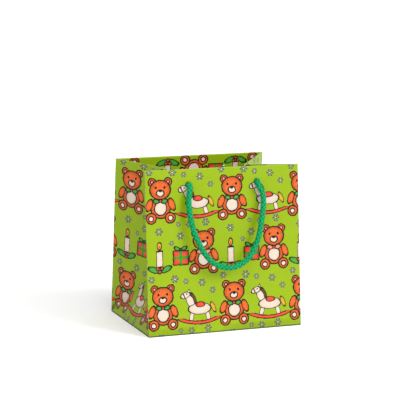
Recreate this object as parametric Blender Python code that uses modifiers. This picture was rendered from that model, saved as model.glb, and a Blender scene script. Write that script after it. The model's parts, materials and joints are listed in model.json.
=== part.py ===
"""Paper gift bag with turned-in hem, folded side gussets, base board and knotted cord handles.

Frame: +X to the right, -Y to the front, +Z up, origin under the middle of the base. Metres.
The printed sheet is creased into panels, and each panel is a node of its own. Touching layers keep
a small gap. The sheet is named from the outside in: panel, card strip, hem.
"""

from math import atan2, cos, hypot, pi, sin

import bmesh
import bpy
from mathutils import Matrix, Vector

# Driving dimensions
WIDTH = 0.140
HEIGHT = 0.140
BASE_DEPTH = 0.1026
MOUTH_DEPTH = 0.0784
PAPER = 0.0003
CARD = 0.0005
BOARD = 0.0010
GAP = 0.00025

# Side gussets, folded in along a middle crease
FOOT_INSET = 0.0230
FOOT_RISE = 0.0459
CREASE_TOP_INSET = 0.0335
CREASE_TOP_DROP = 0.0047
CORNER_GAP = 0.0005
CREASE_GAP = 0.0002
GUSSET_START = 0.0006

# Turned-in top edge
HEM_DEPTH = 0.0300
HEM_SIDE_CLEARANCE = 0.0016
GUSSET_HEM_START = 0.08  # share of the half, from the corner edge
STIFFENER_DEPTH = 0.0280
STIFFENER_SIDE_CLEARANCE = 0.0040
SEAM_TAB_WIDTH = 0.0120

# Folded bottom
SIDE_FLAP_REACH = 0.0500
FLAP_OVERLAP = 0.0110
FLAP_TAPER = 0.0060
BOARD_CLEARANCE = 0.0010

# Cord handles
CORD = 0.0050
HOLE = 0.0057
HOLE_SPACING = 0.0622
HOLE_DROP = 0.0133
PIVOT_STAND_OFF = 0.0030
HANG_LEAN = 10.7 * pi / 180
HANDLE_END_GAP = 0.0029
KNOT_WIDTH = 0.0100
KNOT_THICKNESS = 0.0080
KNOT_SAG = 0.0018  # the knot hangs this much below the hole
TAIL_LENGTH = 0.0120
TAIL_LEAN = 0.0030  # how far the tail's end stands further into the bag than the knot
CORD_POINT_SPACING = 0.0102

# Route of one handle in the plane of its loop: distance to the right of the middle, distance below the holes
LOOP_ROUTE = [
    (-0.0311, 0.0000),
    (-0.0327, 0.0115),
    (-0.0326, 0.0240),
    (-0.0306, 0.0360),
    (-0.0268, 0.0475),
    (-0.0216, 0.0580),
    (-0.0148, 0.0660),
    (-0.0068, 0.0704),
    (0.0020, 0.0716),
    (0.0100, 0.0698),
    (0.0172, 0.0652),
    (0.0228, 0.0590),
    (0.0270, 0.0510),
    (0.0303, 0.0415),
    (0.0328, 0.0300),
    (0.0347, 0.0190),
    (0.0346, 0.0100),
    (0.0311, 0.0000),
]

HALF_WIDTH = WIDTH / 2
LEAN = atan2((BASE_DEPTH - MOUTH_DEPTH) / 2, HEIGHT)
PANEL_LENGTH = HEIGHT / cos(LEAN)
PANEL_FOOT = 0.0002  # keeps the thickness of the leaning panel above the table

COLOURS = {
    "printed_paper": ((0.37, 0.56, 0.02), 0.30),
    "side_paper": ((0.27, 0.42, 0.01), 0.32),
    "hem_paper": ((0.55, 0.58, 0.20), 0.35),
    "white_paper": ((0.86, 0.85, 0.81), 0.65),
    "grey_card": ((0.45, 0.42, 0.38), 0.80),
    "green_cord": ((0.01, 0.38, 0.13), 0.55),
}


def clear_scene():
    for old in list(bpy.data.objects):
        bpy.data.objects.remove(old, do_unlink=True)


def make_collection(name):
    collection = bpy.data.collections.new(name)
    bpy.context.scene.collection.children.link(collection)
    return collection


def make_material(name):
    colour, roughness = COLOURS[name]
    material = bpy.data.materials.new(name)
    material.use_nodes = True
    shader = material.node_tree.nodes["Principled BSDF"]
    shader.inputs["Base Color"].default_value = (*colour, 1)
    shader.inputs["Roughness"].default_value = roughness
    shader.inputs["Metallic"].default_value = 0
    return material


def add_object(name, data, material, collection):
    obj = bpy.data.objects.new(name, data)
    data.materials.append(material)
    collection.objects.link(obj)
    return obj


def flat_sheet(name, outline, thickness, plane, material, collection, holes=()):
    """A flat outline, with round holes as (x, y, radius), on the middle plane of its thickness."""
    curve = bpy.data.curves.new(name, "CURVE")
    curve.dimensions = "2D"
    curve.fill_mode = "BOTH"
    curve.extrude = thickness / 2
    rings = [outline] + [round_hole(*hole) for hole in holes]
    for ring in rings:
        spline = curve.splines.new("POLY")
        spline.points.add(len(ring) - 1)
        for point, (x, y) in zip(spline.points, ring):
            point.co = (x, y, 0, 1)
        spline.use_cyclic_u = True
    sheet = add_object(name, curve, material, collection)
    sheet.matrix_world = plane
    return sheet


def round_hole(x, y, radius, sides=16):
    turns = [2 * pi * i / sides for i in range(sides)]
    return [(x + radius * cos(a), y + radius * sin(a)) for a in turns]


def plane_at(origin, across, up):
    """A sheet's own frame: its x runs across, its y runs up, its z is the normal."""
    across = Vector(across).normalized()
    up = Vector(up).normalized()
    normal = across.cross(up)
    return Matrix.Translation(origin) @ Matrix((across, up, normal)).transposed().to_4x4()


def leaning_plane(depth, side):
    """The front (side -1) or back (side +1) panel's frame, with its origin depth inside the outer face."""
    up = Vector((0, -side * sin(LEAN), cos(LEAN)))
    outward = Vector((0, side * cos(LEAN), sin(LEAN)))
    origin = Vector((0, side * BASE_DEPTH / 2, 0)) - depth * outward
    return plane_at(origin, (-side, 0, 0), up)


def shaped_sheet(name, surface, inward, steps, material, collection):
    """Paper that follows surface(across, rise), both from 0 to 1, and is thickened towards inward."""
    mesh = bpy.data.meshes.new(name)
    bm = bmesh.new()
    bmesh.ops.create_grid(bm, x_segments=steps[0], y_segments=steps[1], size=0.5)
    for vert in bm.verts:
        vert.co = surface(vert.co.x + 0.5, vert.co.y + 0.5)
    bm.normal_update()
    bm.faces.ensure_lookup_table()
    faces_inward = bm.faces[0].normal.dot(Vector(inward)) > 0
    bm.to_mesh(mesh)
    bm.free()
    sheet = add_object(name, mesh, material, collection)
    shell = sheet.modifiers.new("paper thickness", "SOLIDIFY")
    shell.thickness = PAPER
    shell.offset = 1 if faces_inward else -1
    shell.use_even_offset = True
    return sheet


def box_outline(left, right, low, high):
    return [(left, low), (right, low), (right, high), (left, high)]


def hole_places(radius):
    rise = PANEL_LENGTH - HOLE_DROP
    return [(side * HOLE_SPACING / 2, rise, radius) for side in (-1, 1)]


def build_wall(word, side, parts, paints):
    """One leaning wall: the printed panel, the card strip and the turned-in hem, all punched for the cord."""
    holes = hole_places(HOLE / 2)
    panel = box_outline(-HALF_WIDTH, HALF_WIDTH, PANEL_FOOT, PANEL_LENGTH)
    flat_sheet(
        word + "_panel", panel, PAPER, leaning_plane(PAPER / 2, side), paints["printed_paper"], parts, holes
    )
    card_face = PAPER + GAP
    half = HALF_WIDTH - STIFFENER_SIDE_CLEARANCE
    strip = box_outline(-half, half, PANEL_LENGTH - STIFFENER_DEPTH, PANEL_LENGTH - GAP)
    card_plane = leaning_plane(card_face + CARD / 2, side)
    flat_sheet(word + "_stiffener", strip, CARD, card_plane, paints["grey_card"], parts, holes)
    hem_face = card_face + CARD + GAP
    half = HALF_WIDTH - HEM_SIDE_CLEARANCE
    hem = box_outline(-half, half, PANEL_LENGTH - HEM_DEPTH, PANEL_LENGTH - GAP)
    hem_plane = leaning_plane(hem_face + PAPER / 2, side)
    flat_sheet(word + "_hem", hem, PAPER, hem_plane, paints["hem_paper"], parts, holes)
    return hem_face + PAPER


def gusset_point(end, side, across, lift, depth):
    """A point on a gusset half.

    end is -1 for the left gusset and 1 for the right, and side is -1 for its front half and 1 for its
    back half. across runs from the corner edge (0) to the middle crease (1), lift from the foot (0) to
    the top (1), and depth moves the point into the bag.
    """
    half_depth = (BASE_DEPTH + (MOUTH_DEPTH - BASE_DEPTH) * lift) / 2
    edge = Vector((end * HALF_WIDTH, side * (half_depth - PAPER - CORNER_GAP), HEIGHT * lift))
    inset = FOOT_INSET + (CREASE_TOP_INSET - FOOT_INSET) * lift
    height = FOOT_RISE + (HEIGHT - CREASE_TOP_DROP - FOOT_RISE) * lift
    crease = Vector((end * (HALF_WIDTH - inset), side * CREASE_GAP, height))
    inward = Vector((-end * half_depth, side * inset, 0)).normalized()
    return edge.lerp(crease, across) + depth * inward


def build_gusset(word, end, parts, paints):
    """One side: a foot triangle that leans in, two halves that fold in above it, and their hems."""
    for half, side in (("front", -1), ("back", 1)):
        low = GUSSET_START / HEIGHT
        inward = (-end, side * FOOT_INSET / BASE_DEPTH, 0)

        def half_panel(across, rise, side=side):
            return gusset_point(end, side, across, low + (1 - low) * rise, 0)

        def hem(across, rise, side=side):
            across = GUSSET_HEM_START + (1 - GUSSET_HEM_START) * across
            crease_length = HEIGHT - CREASE_TOP_DROP - FOOT_RISE
            drop = HEM_DEPTH / HEIGHT + HEM_DEPTH * (1 / crease_length - 1 / HEIGHT) * across
            return gusset_point(end, side, across, 1 - drop * (1 - rise), PAPER + GAP)

        paper = paints["side_paper"]
        shaped_sheet(f"{word}_gusset_{half}", half_panel, inward, (4, 6), paper, parts)
        shaped_sheet(f"{word}_hem_{half}", hem, inward, (4, 2), paints["hem_paper"], parts)
    build_foot(word, end, parts, paints)


def build_foot(word, end, parts, paints):
    """The triangle between the bottom edge and the two diagonal creases."""
    up = Vector((-end * FOOT_INSET, 0, FOOT_RISE))
    tip = up.length
    edge_gap = 2 * GAP
    slope = hypot(tip, BASE_DEPTH / 2) / tip
    half_base = BASE_DEPTH / 2 - PAPER - CORNER_GAP - edge_gap * slope
    foot = 2 * GAP
    base_half = half_base * (1 - foot / tip)
    outline = [(-base_half, foot), (base_half, foot), (0, tip - 2 * edge_gap)]
    plane = plane_at((end * HALF_WIDTH, 0, 0), (0, end, 0), up)
    inward = plane.to_3x3() @ Vector((0, 0, -1))
    plane.translation += inward * PAPER / 2
    flat_sheet(f"{word}_gusset_foot", outline, PAPER, plane, paints["side_paper"], parts)


def build_bottom(parts, paints):
    """Four glued flaps and the loose base board on top of them."""
    paper = paints["white_paper"]
    flat = plane_at((0, 0, 0), (1, 0, 0), (0, 1, 0))
    edge_y = BASE_DEPTH / 2 - PAPER - GAP
    edge_x = HALF_WIDTH - GAP
    layer = PAPER + GAP

    def lay(level, thickness):
        return Matrix.Translation((0, 0, level + thickness / 2)) @ flat

    front = [
        (-edge_x, -edge_y),
        (edge_x, -edge_y),
        (edge_x - FLAP_TAPER, FLAP_OVERLAP),
        (-edge_x + FLAP_TAPER, FLAP_OVERLAP),
    ]
    flat_sheet("bottom_flap_front", front, PAPER, lay(0, PAPER), paints["printed_paper"], parts)
    build_back_flap(edge_x, edge_y, layer, paints["printed_paper"], parts)
    side_level = 2 * layer
    inner_edge = HALF_WIDTH - FOOT_INSET / FOOT_RISE * (side_level + PAPER) - 3 * GAP
    for word, end in (("left", -1), ("right", 1)):
        outline = [
            (end * inner_edge, -edge_y + GAP),
            (end * inner_edge, edge_y - GAP),
            (end * (inner_edge - SIDE_FLAP_REACH), FLAP_TAPER),
            (end * (inner_edge - SIDE_FLAP_REACH), -FLAP_TAPER),
        ]
        flat_sheet(f"bottom_flap_{word}", outline, PAPER, lay(side_level, PAPER), paper, parts)
    board_level = side_level + layer
    board_x = inner_edge - BOARD_CLEARANCE
    board_y = edge_y - BOARD_CLEARANCE
    board = box_outline(-board_x, board_x, -board_y, board_y)
    flat_sheet("base_board", board, BOARD, lay(board_level, BOARD), paints["grey_card"], parts)


def build_back_flap(edge_x, edge_y, layer, material, parts):
    """The back flap lies flat, then steps up over the free edge of the front flap."""
    step_end = FLAP_OVERLAP + GAP
    step_start = step_end + 2 * layer
    free_edge = -FLAP_OVERLAP
    profile = [(edge_y, 0), (step_start, 0), (step_end, layer), (free_edge, layer)]
    mesh = bpy.data.meshes.new("bottom_flap_back")
    bm = bmesh.new()
    bmesh.ops.create_grid(bm, x_segments=1, y_segments=len(profile) - 1, size=0.5)
    for vert in bm.verts:
        row = round((vert.co.y + 0.5) * (len(profile) - 1))
        y, z = profile[row]
        reach = (edge_y - y) / (edge_y - free_edge)
        vert.co = (2 * vert.co.x * (edge_x - FLAP_TAPER * reach), y, z)
    bmesh.ops.recalc_face_normals(bm, faces=bm.faces)
    bm.to_mesh(mesh)
    bm.free()
    flap = add_object("bottom_flap_back", mesh, material, parts)
    shell = flap.modifiers.new("paper thickness", "SOLIDIFY")
    shell.thickness = PAPER
    shell.offset = 1 if mesh.polygons[0].normal.z > 0 else -1
    shell.use_even_offset = True


def build_seam_tab(parts, paints):
    """The glue tab of the sheet's long seam, behind the front panel at its left edge."""
    high = PANEL_LENGTH - HEM_DEPTH - GAP
    low = FOOT_INSET
    right = HALF_WIDTH - HEM_SIDE_CLEARANCE
    outline = [
        (-right, low),
        (-right + SEAM_TAB_WIDTH, low + SEAM_TAB_WIDTH),
        (-right + SEAM_TAB_WIDTH, high),
        (-right, high),
    ]
    plane = leaning_plane(PAPER + GAP + PAPER / 2, -1)
    flat_sheet("side_seam_tab", outline, PAPER, plane, paints["white_paper"], parts)


def pivot_point(side, x):
    """Where a handle's cord turns down, just outside the punched hole."""
    up = Vector((0, -side * sin(LEAN), cos(LEAN)))
    outward = Vector((0, side * cos(LEAN), sin(LEAN)))
    foot = Vector((x, side * BASE_DEPTH / 2, 0))
    return foot + up * (PANEL_LENGTH - HOLE_DROP) + outward * PIVOT_STAND_OFF


def smooth_route(points, spacing):
    """Points at an even spacing on a smooth curve through the given ones."""
    ends = [points[0] * 2 - points[1], points[-1] * 2 - points[-2]]
    padded = [ends[0]] + points + [ends[1]]
    fine = []
    pieces = 12
    for i in range(1, len(padded) - 2):
        before, start, stop, after = padded[i - 1 : i + 3]
        for j in range(pieces):
            t = j / pieces
            bend = 2 * before - 5 * start + 4 * stop - after
            twist = 3 * (start - stop) + after - before
            fine.append(start + 0.5 * t * ((stop - before) + t * (bend + t * twist)))
    fine.append(points[-1])
    lengths = [(b - a).length for a, b in zip(fine, fine[1:])]
    total = sum(lengths)
    count = round(total / spacing)
    even = [fine[0]]
    walked = 0
    for a, b, length in zip(fine, fine[1:], lengths):
        while len(even) < count and walked + length >= total * len(even) / count:
            part = (total * len(even) / count - walked) / length
            even.append(a.lerp(b, part))
        walked += length
    even.append(fine[-1])
    return even


def cord_tube(name, points, material, collection):
    curve = bpy.data.curves.new(name, "CURVE")
    curve.dimensions = "3D"
    curve.bevel_depth = CORD / 2
    curve.bevel_resolution = 3
    curve.use_fill_caps = True
    curve.twist_mode = "MINIMUM"
    spline = curve.splines.new("POLY")
    spline.points.add(len(points) - 1)
    for point, place in zip(spline.points, points):
        point.co = (*place, 1)
    return add_object(name, curve, material, collection)


def build_handle(word, side, parts, paints):
    """The free loop of one handle. Its object's origin is on the axis through its two pivots."""
    down = Vector((0, side * sin(HANG_LEAN), -cos(HANG_LEAN)))
    route = []
    for x, drop in LOOP_ROUTE:
        route.append(Vector((-side * x, 0, 0)) + down * drop)
    for end, nxt in ((0, 1), (-1, -2)):
        route[end] = route[end] + (route[nxt] - route[end]).normalized() * HANDLE_END_GAP
    handle = cord_tube(word + "_handle", smooth_route(route, CORD_POINT_SPACING), paints["green_cord"], parts)
    handle.location = pivot_point(side, 0)
    return handle


def ball(name, centre, size, collection, segments=16, rings=10):
    mesh = bpy.data.meshes.new(name)
    bm = bmesh.new()
    bmesh.ops.create_uvsphere(bm, u_segments=segments, v_segments=rings, radius=0.5)
    bmesh.ops.scale(bm, vec=size, verts=bm.verts)
    bm.to_mesh(mesh)
    bm.free()
    obj = bpy.data.objects.new(name, mesh)
    obj.location = centre
    collection.objects.link(obj)
    return obj


def solid_tube(name, points, material, collection):
    """A cord tube as a welded mesh, ready for a Boolean."""
    tube = cord_tube(name, points, material, collection)
    graph = bpy.context.evaluated_depsgraph_get()
    mesh = bpy.data.meshes.new_from_object(tube.evaluated_get(graph))
    bm = bmesh.new()
    bm.from_mesh(mesh)
    bmesh.ops.remove_doubles(bm, verts=bm.verts, dist=0.00001)
    bm.to_mesh(mesh)
    bm.free()
    matrix = tube.matrix_world.copy()
    bpy.data.objects.remove(tube, do_unlink=True)
    solid = bpy.data.objects.new(name, mesh)
    solid.matrix_world = matrix
    collection.objects.link(solid)
    return solid


def join_to(body, piece, cutters):
    """Adds a piece to a body with a Boolean union, and hides the piece."""
    union = body.modifiers.new("join " + piece.name, "BOOLEAN")
    union.operation = "UNION"
    union.solver = "EXACT"
    union.object = piece
    for owner in list(piece.users_collection):
        owner.objects.unlink(piece)
    cutters.objects.link(piece)
    piece.hide_render = True
    piece.display_type = "WIRE"


def build_knot(word, side, where, x, wall_depth, parts, cutters, paints):
    """One end of a cord: a round nose at the pivot, the run through the wall, the knot and its tail."""
    pivot = pivot_point(side, x)
    inward = Vector((0, -side * cos(LEAN), -sin(LEAN)))
    through = PIVOT_STAND_OFF + wall_depth + GAP
    knot_centre = pivot + inward * (through + KNOT_THICKNESS / 2) - Vector((0, 0, KNOT_SAG))
    tail_end = knot_centre + Vector((0, -side * TAIL_LEAN, -KNOT_WIDTH / 2 - TAIL_LENGTH))
    name = f"{word}_knot_{where}"
    green = paints["green_cord"]
    root = solid_tube(name, [pivot, pivot + inward * through, knot_centre], green, parts)
    root.data.materials.append(green)
    nose = ball(name + "_nose", pivot, (CORD, CORD, CORD), parts)
    knot = ball(name + "_ball", knot_centre, (KNOT_WIDTH, KNOT_THICKNESS, KNOT_WIDTH), parts)
    tail = solid_tube(name + "_tail", [knot_centre, tail_end], green, parts)
    for piece in (nose, knot, tail):
        join_to(root, piece, cutters)
    return root


def build_bag():
    clear_scene()
    parts = make_collection("gift_bag")
    cutters = make_collection("cutters")
    paints = {name: make_material(name) for name in COLOURS}
    wall_depth = 0
    for word, side in (("front", -1), ("back", 1)):
        wall_depth = build_wall(word, side, parts, paints)
    for word, end in (("left", -1), ("right", 1)):
        build_gusset(word, end, parts, paints)
    build_seam_tab(parts, paints)
    build_bottom(parts, paints)
    for word, side in (("front", -1), ("back", 1)):
        build_handle(word, side, parts, paints)
        for where, x in (("left", -HOLE_SPACING / 2), ("right", HOLE_SPACING / 2)):
            build_knot(word, side, where, x, wall_depth, parts, cutters, paints)


build_bag()
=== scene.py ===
import json
from math import atan2, cos, degrees, hypot, pi, radians, sin

import bpy
import numpy as np
from bpy.props import FloatProperty, FloatVectorProperty, IntProperty, PointerProperty
from mathutils import Matrix, Vector


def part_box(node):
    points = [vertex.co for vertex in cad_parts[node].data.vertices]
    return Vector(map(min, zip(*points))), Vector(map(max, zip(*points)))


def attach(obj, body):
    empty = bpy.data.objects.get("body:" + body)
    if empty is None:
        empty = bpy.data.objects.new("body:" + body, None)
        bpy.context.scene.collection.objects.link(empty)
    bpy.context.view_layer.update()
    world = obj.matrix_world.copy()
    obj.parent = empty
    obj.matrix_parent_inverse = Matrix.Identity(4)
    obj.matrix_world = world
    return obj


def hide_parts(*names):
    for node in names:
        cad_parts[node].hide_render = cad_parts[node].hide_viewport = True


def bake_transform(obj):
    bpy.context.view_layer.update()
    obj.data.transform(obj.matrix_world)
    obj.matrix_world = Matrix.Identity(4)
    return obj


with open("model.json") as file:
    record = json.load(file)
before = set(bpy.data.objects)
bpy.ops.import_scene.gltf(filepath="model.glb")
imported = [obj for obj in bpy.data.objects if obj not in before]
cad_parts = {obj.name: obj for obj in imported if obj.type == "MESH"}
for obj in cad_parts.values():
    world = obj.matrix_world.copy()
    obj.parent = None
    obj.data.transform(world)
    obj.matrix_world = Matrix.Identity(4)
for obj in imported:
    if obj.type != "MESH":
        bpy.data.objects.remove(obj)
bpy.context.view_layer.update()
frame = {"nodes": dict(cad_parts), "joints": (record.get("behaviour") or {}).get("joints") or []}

bl_info = {
    "name": "Printed Gift Bag",
    "version": (1, 0, 0),
    "blender": (4, 5, 0),
    "location": "3D View > Sidebar > Gift Bag",
    "description": "Dresses the gift bag's frame with printed paper, card, braided cords and a studio stage",
    "category": "Add Mesh",
}

MM = 0.001

# The bag's own sizes, read from the frame
PANEL_LOW, PANEL_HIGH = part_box("front_panel")
FOOT_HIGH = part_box("left_gusset_foot")[1]
CREASE_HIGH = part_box("left_gusset_front")[1]
HEM_LOW, HEM_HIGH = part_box("front_hem")
PAPER = 0.3 * MM
HALF_WIDTH = PANEL_HIGH[0]
HEIGHT = PANEL_HIGH[2]
BASE_HALF = -PANEL_LOW[1]
MOUTH_HALF = -PANEL_HIGH[1] + PAPER
LEAN = atan2(BASE_HALF - MOUTH_HALF, HEIGHT)
SLOPE = hypot(BASE_HALF - MOUTH_HALF, HEIGHT)
FOOT_INSET = FOOT_HIGH[0] + HALF_WIDTH
FOOT_RISE = FOOT_HIGH[2] + PAPER
CREASE_TOP_INSET = CREASE_HIGH[0] + HALF_WIDTH - PAPER
CREASE_TOP_DROP = 4.7 * MM
HEM_DEPTH = (HEIGHT - HEM_LOW[2]) / cos(LEAN)

# Folds and edges of the paper
WALL_HEM_RADIUS = 0.8 * MM
GUSSET_HEM_RADIUS = 0.42 * MM
GUSSET_TOP_GAP = 0.4 * MM
PRESSED_HALF_WIDTH = 0.8 * MM
FOOT_CLEARANCE = 0.25 * MM
FLAP_CLEARANCE = 0.3 * MM
FLAP_TAPER = 6 * MM
# How high the painted contact shade along the floor reaches
CONTACT_SHADE_HEIGHT = 1.3 * MM
# Where the points lie round a sharp fold: 1 is the middle of its rounding and 0 is the start of the flat face
ARC_SHARES = (1.0, 0.67, 0.33, 0.0)
# How worn the print is on each kind of fold, where 1 is as worn as a sharp fold
WORN = {"foot": 0.2, "flap": 0.3, "diagonal": 0.35, "mouth": 0.5, "pressed": 0.55, "hem": 0.85}

# Where each part lies on the flat sheet, along the print: the seam is at the front left corner
U_FRONT = 0.0
U_RIGHT = 2 * HALF_WIDTH
U_BACK = U_RIGHT + 2 * BASE_HALF
U_LEFT = U_BACK + 2 * HALF_WIDTH

# Handles
JOINTS = {joint["name"]: joint for joint in frame["joints"]}
FRONT_PIVOT = Vector(JOINTS["front_handle_swing"]["pos_m"])
STAND_OFF = 3.0 * MM
HANG_LEAN = radians(10.7)
HOLE_RADIUS = 2.85 * MM
HOLE_X = 31.1 * MM
HOLE_RISE = SLOPE - 13.3 * MM
# Route of one handle in the plane of its loop, in mm: right of the middle, below the holes
LOOP_ROUTE = [
    (-31.1, 0.0),
    (-32.7, 11.5),
    (-32.6, 24.0),
    (-30.6, 36.0),
    (-26.8, 47.5),
    (-21.6, 58.0),
    (-14.8, 66.0),
    (-6.8, 70.4),
    (2.0, 71.6),
    (10.0, 69.8),
    (17.2, 65.2),
    (22.8, 59.0),
    (27.0, 51.0),
    (30.3, 41.5),
    (32.8, 30.0),
    (34.7, 19.0),
    (34.6, 10.0),
    (31.1, 0.0),
]
# Route of a cord's end through its hole, in mm: out of the wall, and down it
HOLE_ROUTE = [
    (-8.2, 0.0),
    (-5.6, 0.0),
    (-3.6, 0.0),
    (-1.6, 0.25),
    (-0.25, 0.99),
]
# The first point outside the hole, in mm: out of the wall, and down along the hanging loop
LOOP_START = (0.15, 3.4)
# How far inside its hole a cord would start to bend as the loop swings, and how far outside it would have
# bent fully; build_cords works these spots out but does not use them
BEND_INSIDE = 2.4 * MM
BEND_OUTSIDE = 2.9 * MM
ROUTE_STEP = 0.42 * MM
# The knots: how far behind the wall and below the hole, the size of the ring that the cord lies round, how
# far it weaves in and out of that ring, and the turn in radians that each end is cut short by
KNOT_BEHIND = 9.6 * MM
KNOT_BELOW = 1.8 * MM
KNOT_RING = 1.9 * MM
KNOT_WEAVE = 1.25 * MM
KNOT_GAP = 0.35
# Route of a knot's tail, in mm: down, and further from the wall
TAIL_ROUTE = [
    (4.0, 0.8),
    (10.0, 1.6),
    (15.0, 1.8),
]
# The braid's thickness as a share of the cord's, pulled tight in the knot and slack in its tail
TIGHT_SHARE = 0.72
SLACK_SHARE = 0.94


# ---------------------------------------------------------------- settings


def size_setting(name, text, value):
    return FloatProperty(name=name, description=text, default=value, unit="LENGTH", precision=5)


def colour_setting(name, text, red, green, blue):
    """A colour given as it would be mixed on screen, from 0 to 255."""
    value = tuple(screen_to_linear(part / 255) for part in (red, green, blue))
    return FloatVectorProperty(
        name=name, description=text, default=value, size=3, subtype="COLOR", min=0, max=1
    )


def screen_to_linear(value):
    """Undoes the curve that screens put on each part of a colour."""
    return value / 12.92 if value <= 0.04045 else ((value + 0.055) / 1.055) ** 2.4


class GiftBagPaper(bpy.types.PropertyGroup):
    fold_radius: size_setting("Fold radius", "Outer radius of the sharp folds", 0.3 * MM)
    base_radius: size_setting("Base radius", "Radius of the fold along the foot of the walls", 0.9 * MM)
    bow: size_setting("Bow", "How far the walls bow between their folds", 0.5 * MM)
    repeat_width: size_setting("Repeat width", "Width of one repeat of the print", 64.5 * MM)
    repeat_height: size_setting("Repeat height", "Height of one repeat of the print", 90.3 * MM)
    line_width: size_setting("Ink line", "Width of the print's dark outlines", 0.78 * MM)
    reflectance: FloatProperty(
        name="Reflectance", description="Share of the light that the print's colours give back", default=0.60
    )
    ground: colour_setting("Ground", "Lime ground of the print", 160, 192, 6)
    fur: colour_setting("Fur", "Orange of the teddies", 250, 108, 24)
    red: colour_setting("Red", "Red of the rockers, saddles and parcels", 252, 74, 42)
    cream: colour_setting("Cream", "Cream of the horses, candles and tummies", 246, 224, 204)
    green: colour_setting("Green", "Bright green of leaves, bows and ribbons", 54, 168, 30)
    dark_green: colour_setting("Dark green", "Knots of the bows on the parcels", 8, 84, 40)
    yellow: colour_setting("Yellow", "Tails and flames", 236, 178, 30)
    pink: colour_setting("Pink", "Bows and ears", 250, 160, 125)
    frost: colour_setting("Frost", "Snowflakes", 96, 92, 108)
    # The ink colour also paints the shade along the floor, where the bag meets it
    ink: colour_setting("Ink", "Outlines, and the painted contact shade along the floor", 28, 22, 18)
    white: colour_setting("White", "White of the print and of the unprinted paper", 250, 248, 242)
    card: colour_setting("Card", "Grey card of the strips and the base board", 188, 182, 170)


class GiftBagCord(bpy.types.PropertyGroup):
    diameter: size_setting("Diameter", "Diameter of the round braided cord", 5.0 * MM)
    braid_pitch: size_setting("Braid pitch", "Length in which a strand goes once round", 16.2 * MM)
    strands_each_way: IntProperty(
        name="Strands each way", description="Strands that turn one way round the cord", default=4, min=2
    )
    colour: colour_setting("Colour", "Green of the cord", 0, 148, 86)


class GiftBagStage(bpy.types.PropertyGroup):
    azimuth: FloatProperty(
        name="Azimuth", description="Camera's turn round the bag", default=radians(-20.886), subtype="ANGLE"
    )
    elevation: FloatProperty(
        name="Elevation", description="Camera's height above level", default=radians(9.598), subtype="ANGLE"
    )
    roll: FloatProperty(name="Roll", description="Camera's roll", default=radians(0.426), subtype="ANGLE")
    distance: size_setting("Distance", "From the bag's middle to the camera", 10.675 * HEIGHT)
    aside: size_setting("Aside", "Camera's shift to its right", -0.0335 * HEIGHT)
    above: size_setting("Above", "Camera's shift to its top", 0.2505 * HEIGHT)
    lens: FloatProperty(name="Lens", description="Focal length", default=153.8, unit="CAMERA")
    fill: FloatProperty(
        name="Fill light", description="Strength of the fill light, from the upper left", default=1.2
    )
    key: FloatProperty(
        name="Key light", description="Strength of the key light, from the upper right", default=2.2
    )
    overhead: FloatProperty(
        name="Overhead light", description="Strength of the light from above the front", default=1.35
    )
    sky: FloatProperty(name="Surround", description="Strength of the white surround", default=0.5)


# ---------------------------------------------------------------- node trees


class Tree:
    """Adds nodes to a tree, each given its inputs by name or number and its settings by keyword."""

    def __init__(self, tree):
        self.tree = tree

    def add(self, kind, inputs=(), **settings):
        node = self.tree.nodes.new("ShaderNode" + kind)
        for name, value in settings.items():
            setattr(node, name, value)
        for key, value in dict(inputs).items():
            socket = node.inputs[key]
            if isinstance(value, bpy.types.NodeSocket):
                self.tree.links.new(value, socket)
            else:
                socket.default_value = value
        return node

    def math(self, operation, *values):
        return self.add("Math", enumerate(values), operation=operation).outputs[0]

    def vector(self, operation, *values):
        node = self.add("VectorMath", enumerate(values), operation=operation)
        return node.outputs["Value" if operation in ("LENGTH", "DOT_PRODUCT") else "Vector"]

    def into_place(self, vector, x, y, width, height, turn):
        """The place as seen from x, y, turned by degrees and measured in widths and heights."""
        if turn:
            turned = {"Vector": vector, "Center": (x, y, 0), "Angle": -radians(turn)}
            vector = self.add("VectorRotate", turned, rotation_type="Z_AXIS").outputs[0]
        return self.vector("MULTIPLY_ADD", vector, (1 / width, 1 / height, 0), (-x / width, -y / height, 0))

    def mix(self, share, under, over):
        node = self.add("Mix", {0: share, 6: under, 7: over}, data_type="RGBA")
        return node.outputs[2]

    def ramp(self, value, stops):
        """A colour ramp; each stop is a place, a colour and how far it covers."""
        node = self.add("ValToRGB", {0: value})
        elements = node.color_ramp.elements
        elements[0].position, elements[1].position = stops[0][0], stops[-1][0]
        for place, colour, cover in stops[1:-1]:
            elements.new(place)
        for element, (place, colour, cover) in zip(elements, stops):
            element.color = (*colour, cover)
        return node.outputs["Color"], node.outputs["Alpha"]


def start_group(name, inputs, outputs):
    """A new node group with its sockets, given as name: (kind, default)."""
    group = bpy.data.node_groups.new(name, "ShaderNodeTree")
    for direction, sockets in (("INPUT", inputs), ("OUTPUT", outputs)):
        for title, (kind, default) in sockets.items():
            socket = group.interface.new_socket(title, in_out=direction, socket_type="NodeSocket" + kind)
            if default is not None:
                socket.default_value = default
    entry = group.nodes.new("NodeGroupInput")
    return group, Tree(group), entry.outputs


def end_group(group, results):
    leave = group.nodes.new("NodeGroupOutput")
    for title, socket in results.items():
        group.links.new(socket, leave.inputs[title])


def use_group(tree, group, inputs):
    node = tree.tree.nodes.new("ShaderNodeGroup")
    node.node_tree = group
    for title, value in inputs.items():
        if isinstance(value, bpy.types.NodeSocket):
            tree.tree.links.new(value, node.inputs[title])
        else:
            node.inputs[title].default_value = value
    return node.outputs


# ---------------------------------------------------------------- the print

# Where a shape's edge lies on its ramp, which also covers what is just outside the shape
EDGE = 0.8
# How far an edge blurs along the ramp
SOFT_EDGE = 0.012
# The widest that an ink line is on the ramp, however small its shape
WIDEST_LINE = 0.45 * EDGE
# How much of a shape inside its ink line keeps the colour of its middle
PLAIN_SHARE = 0.62
# How far the hand-drawn look shifts the print's lines in all, in mm
SWAY = 1.1

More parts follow.
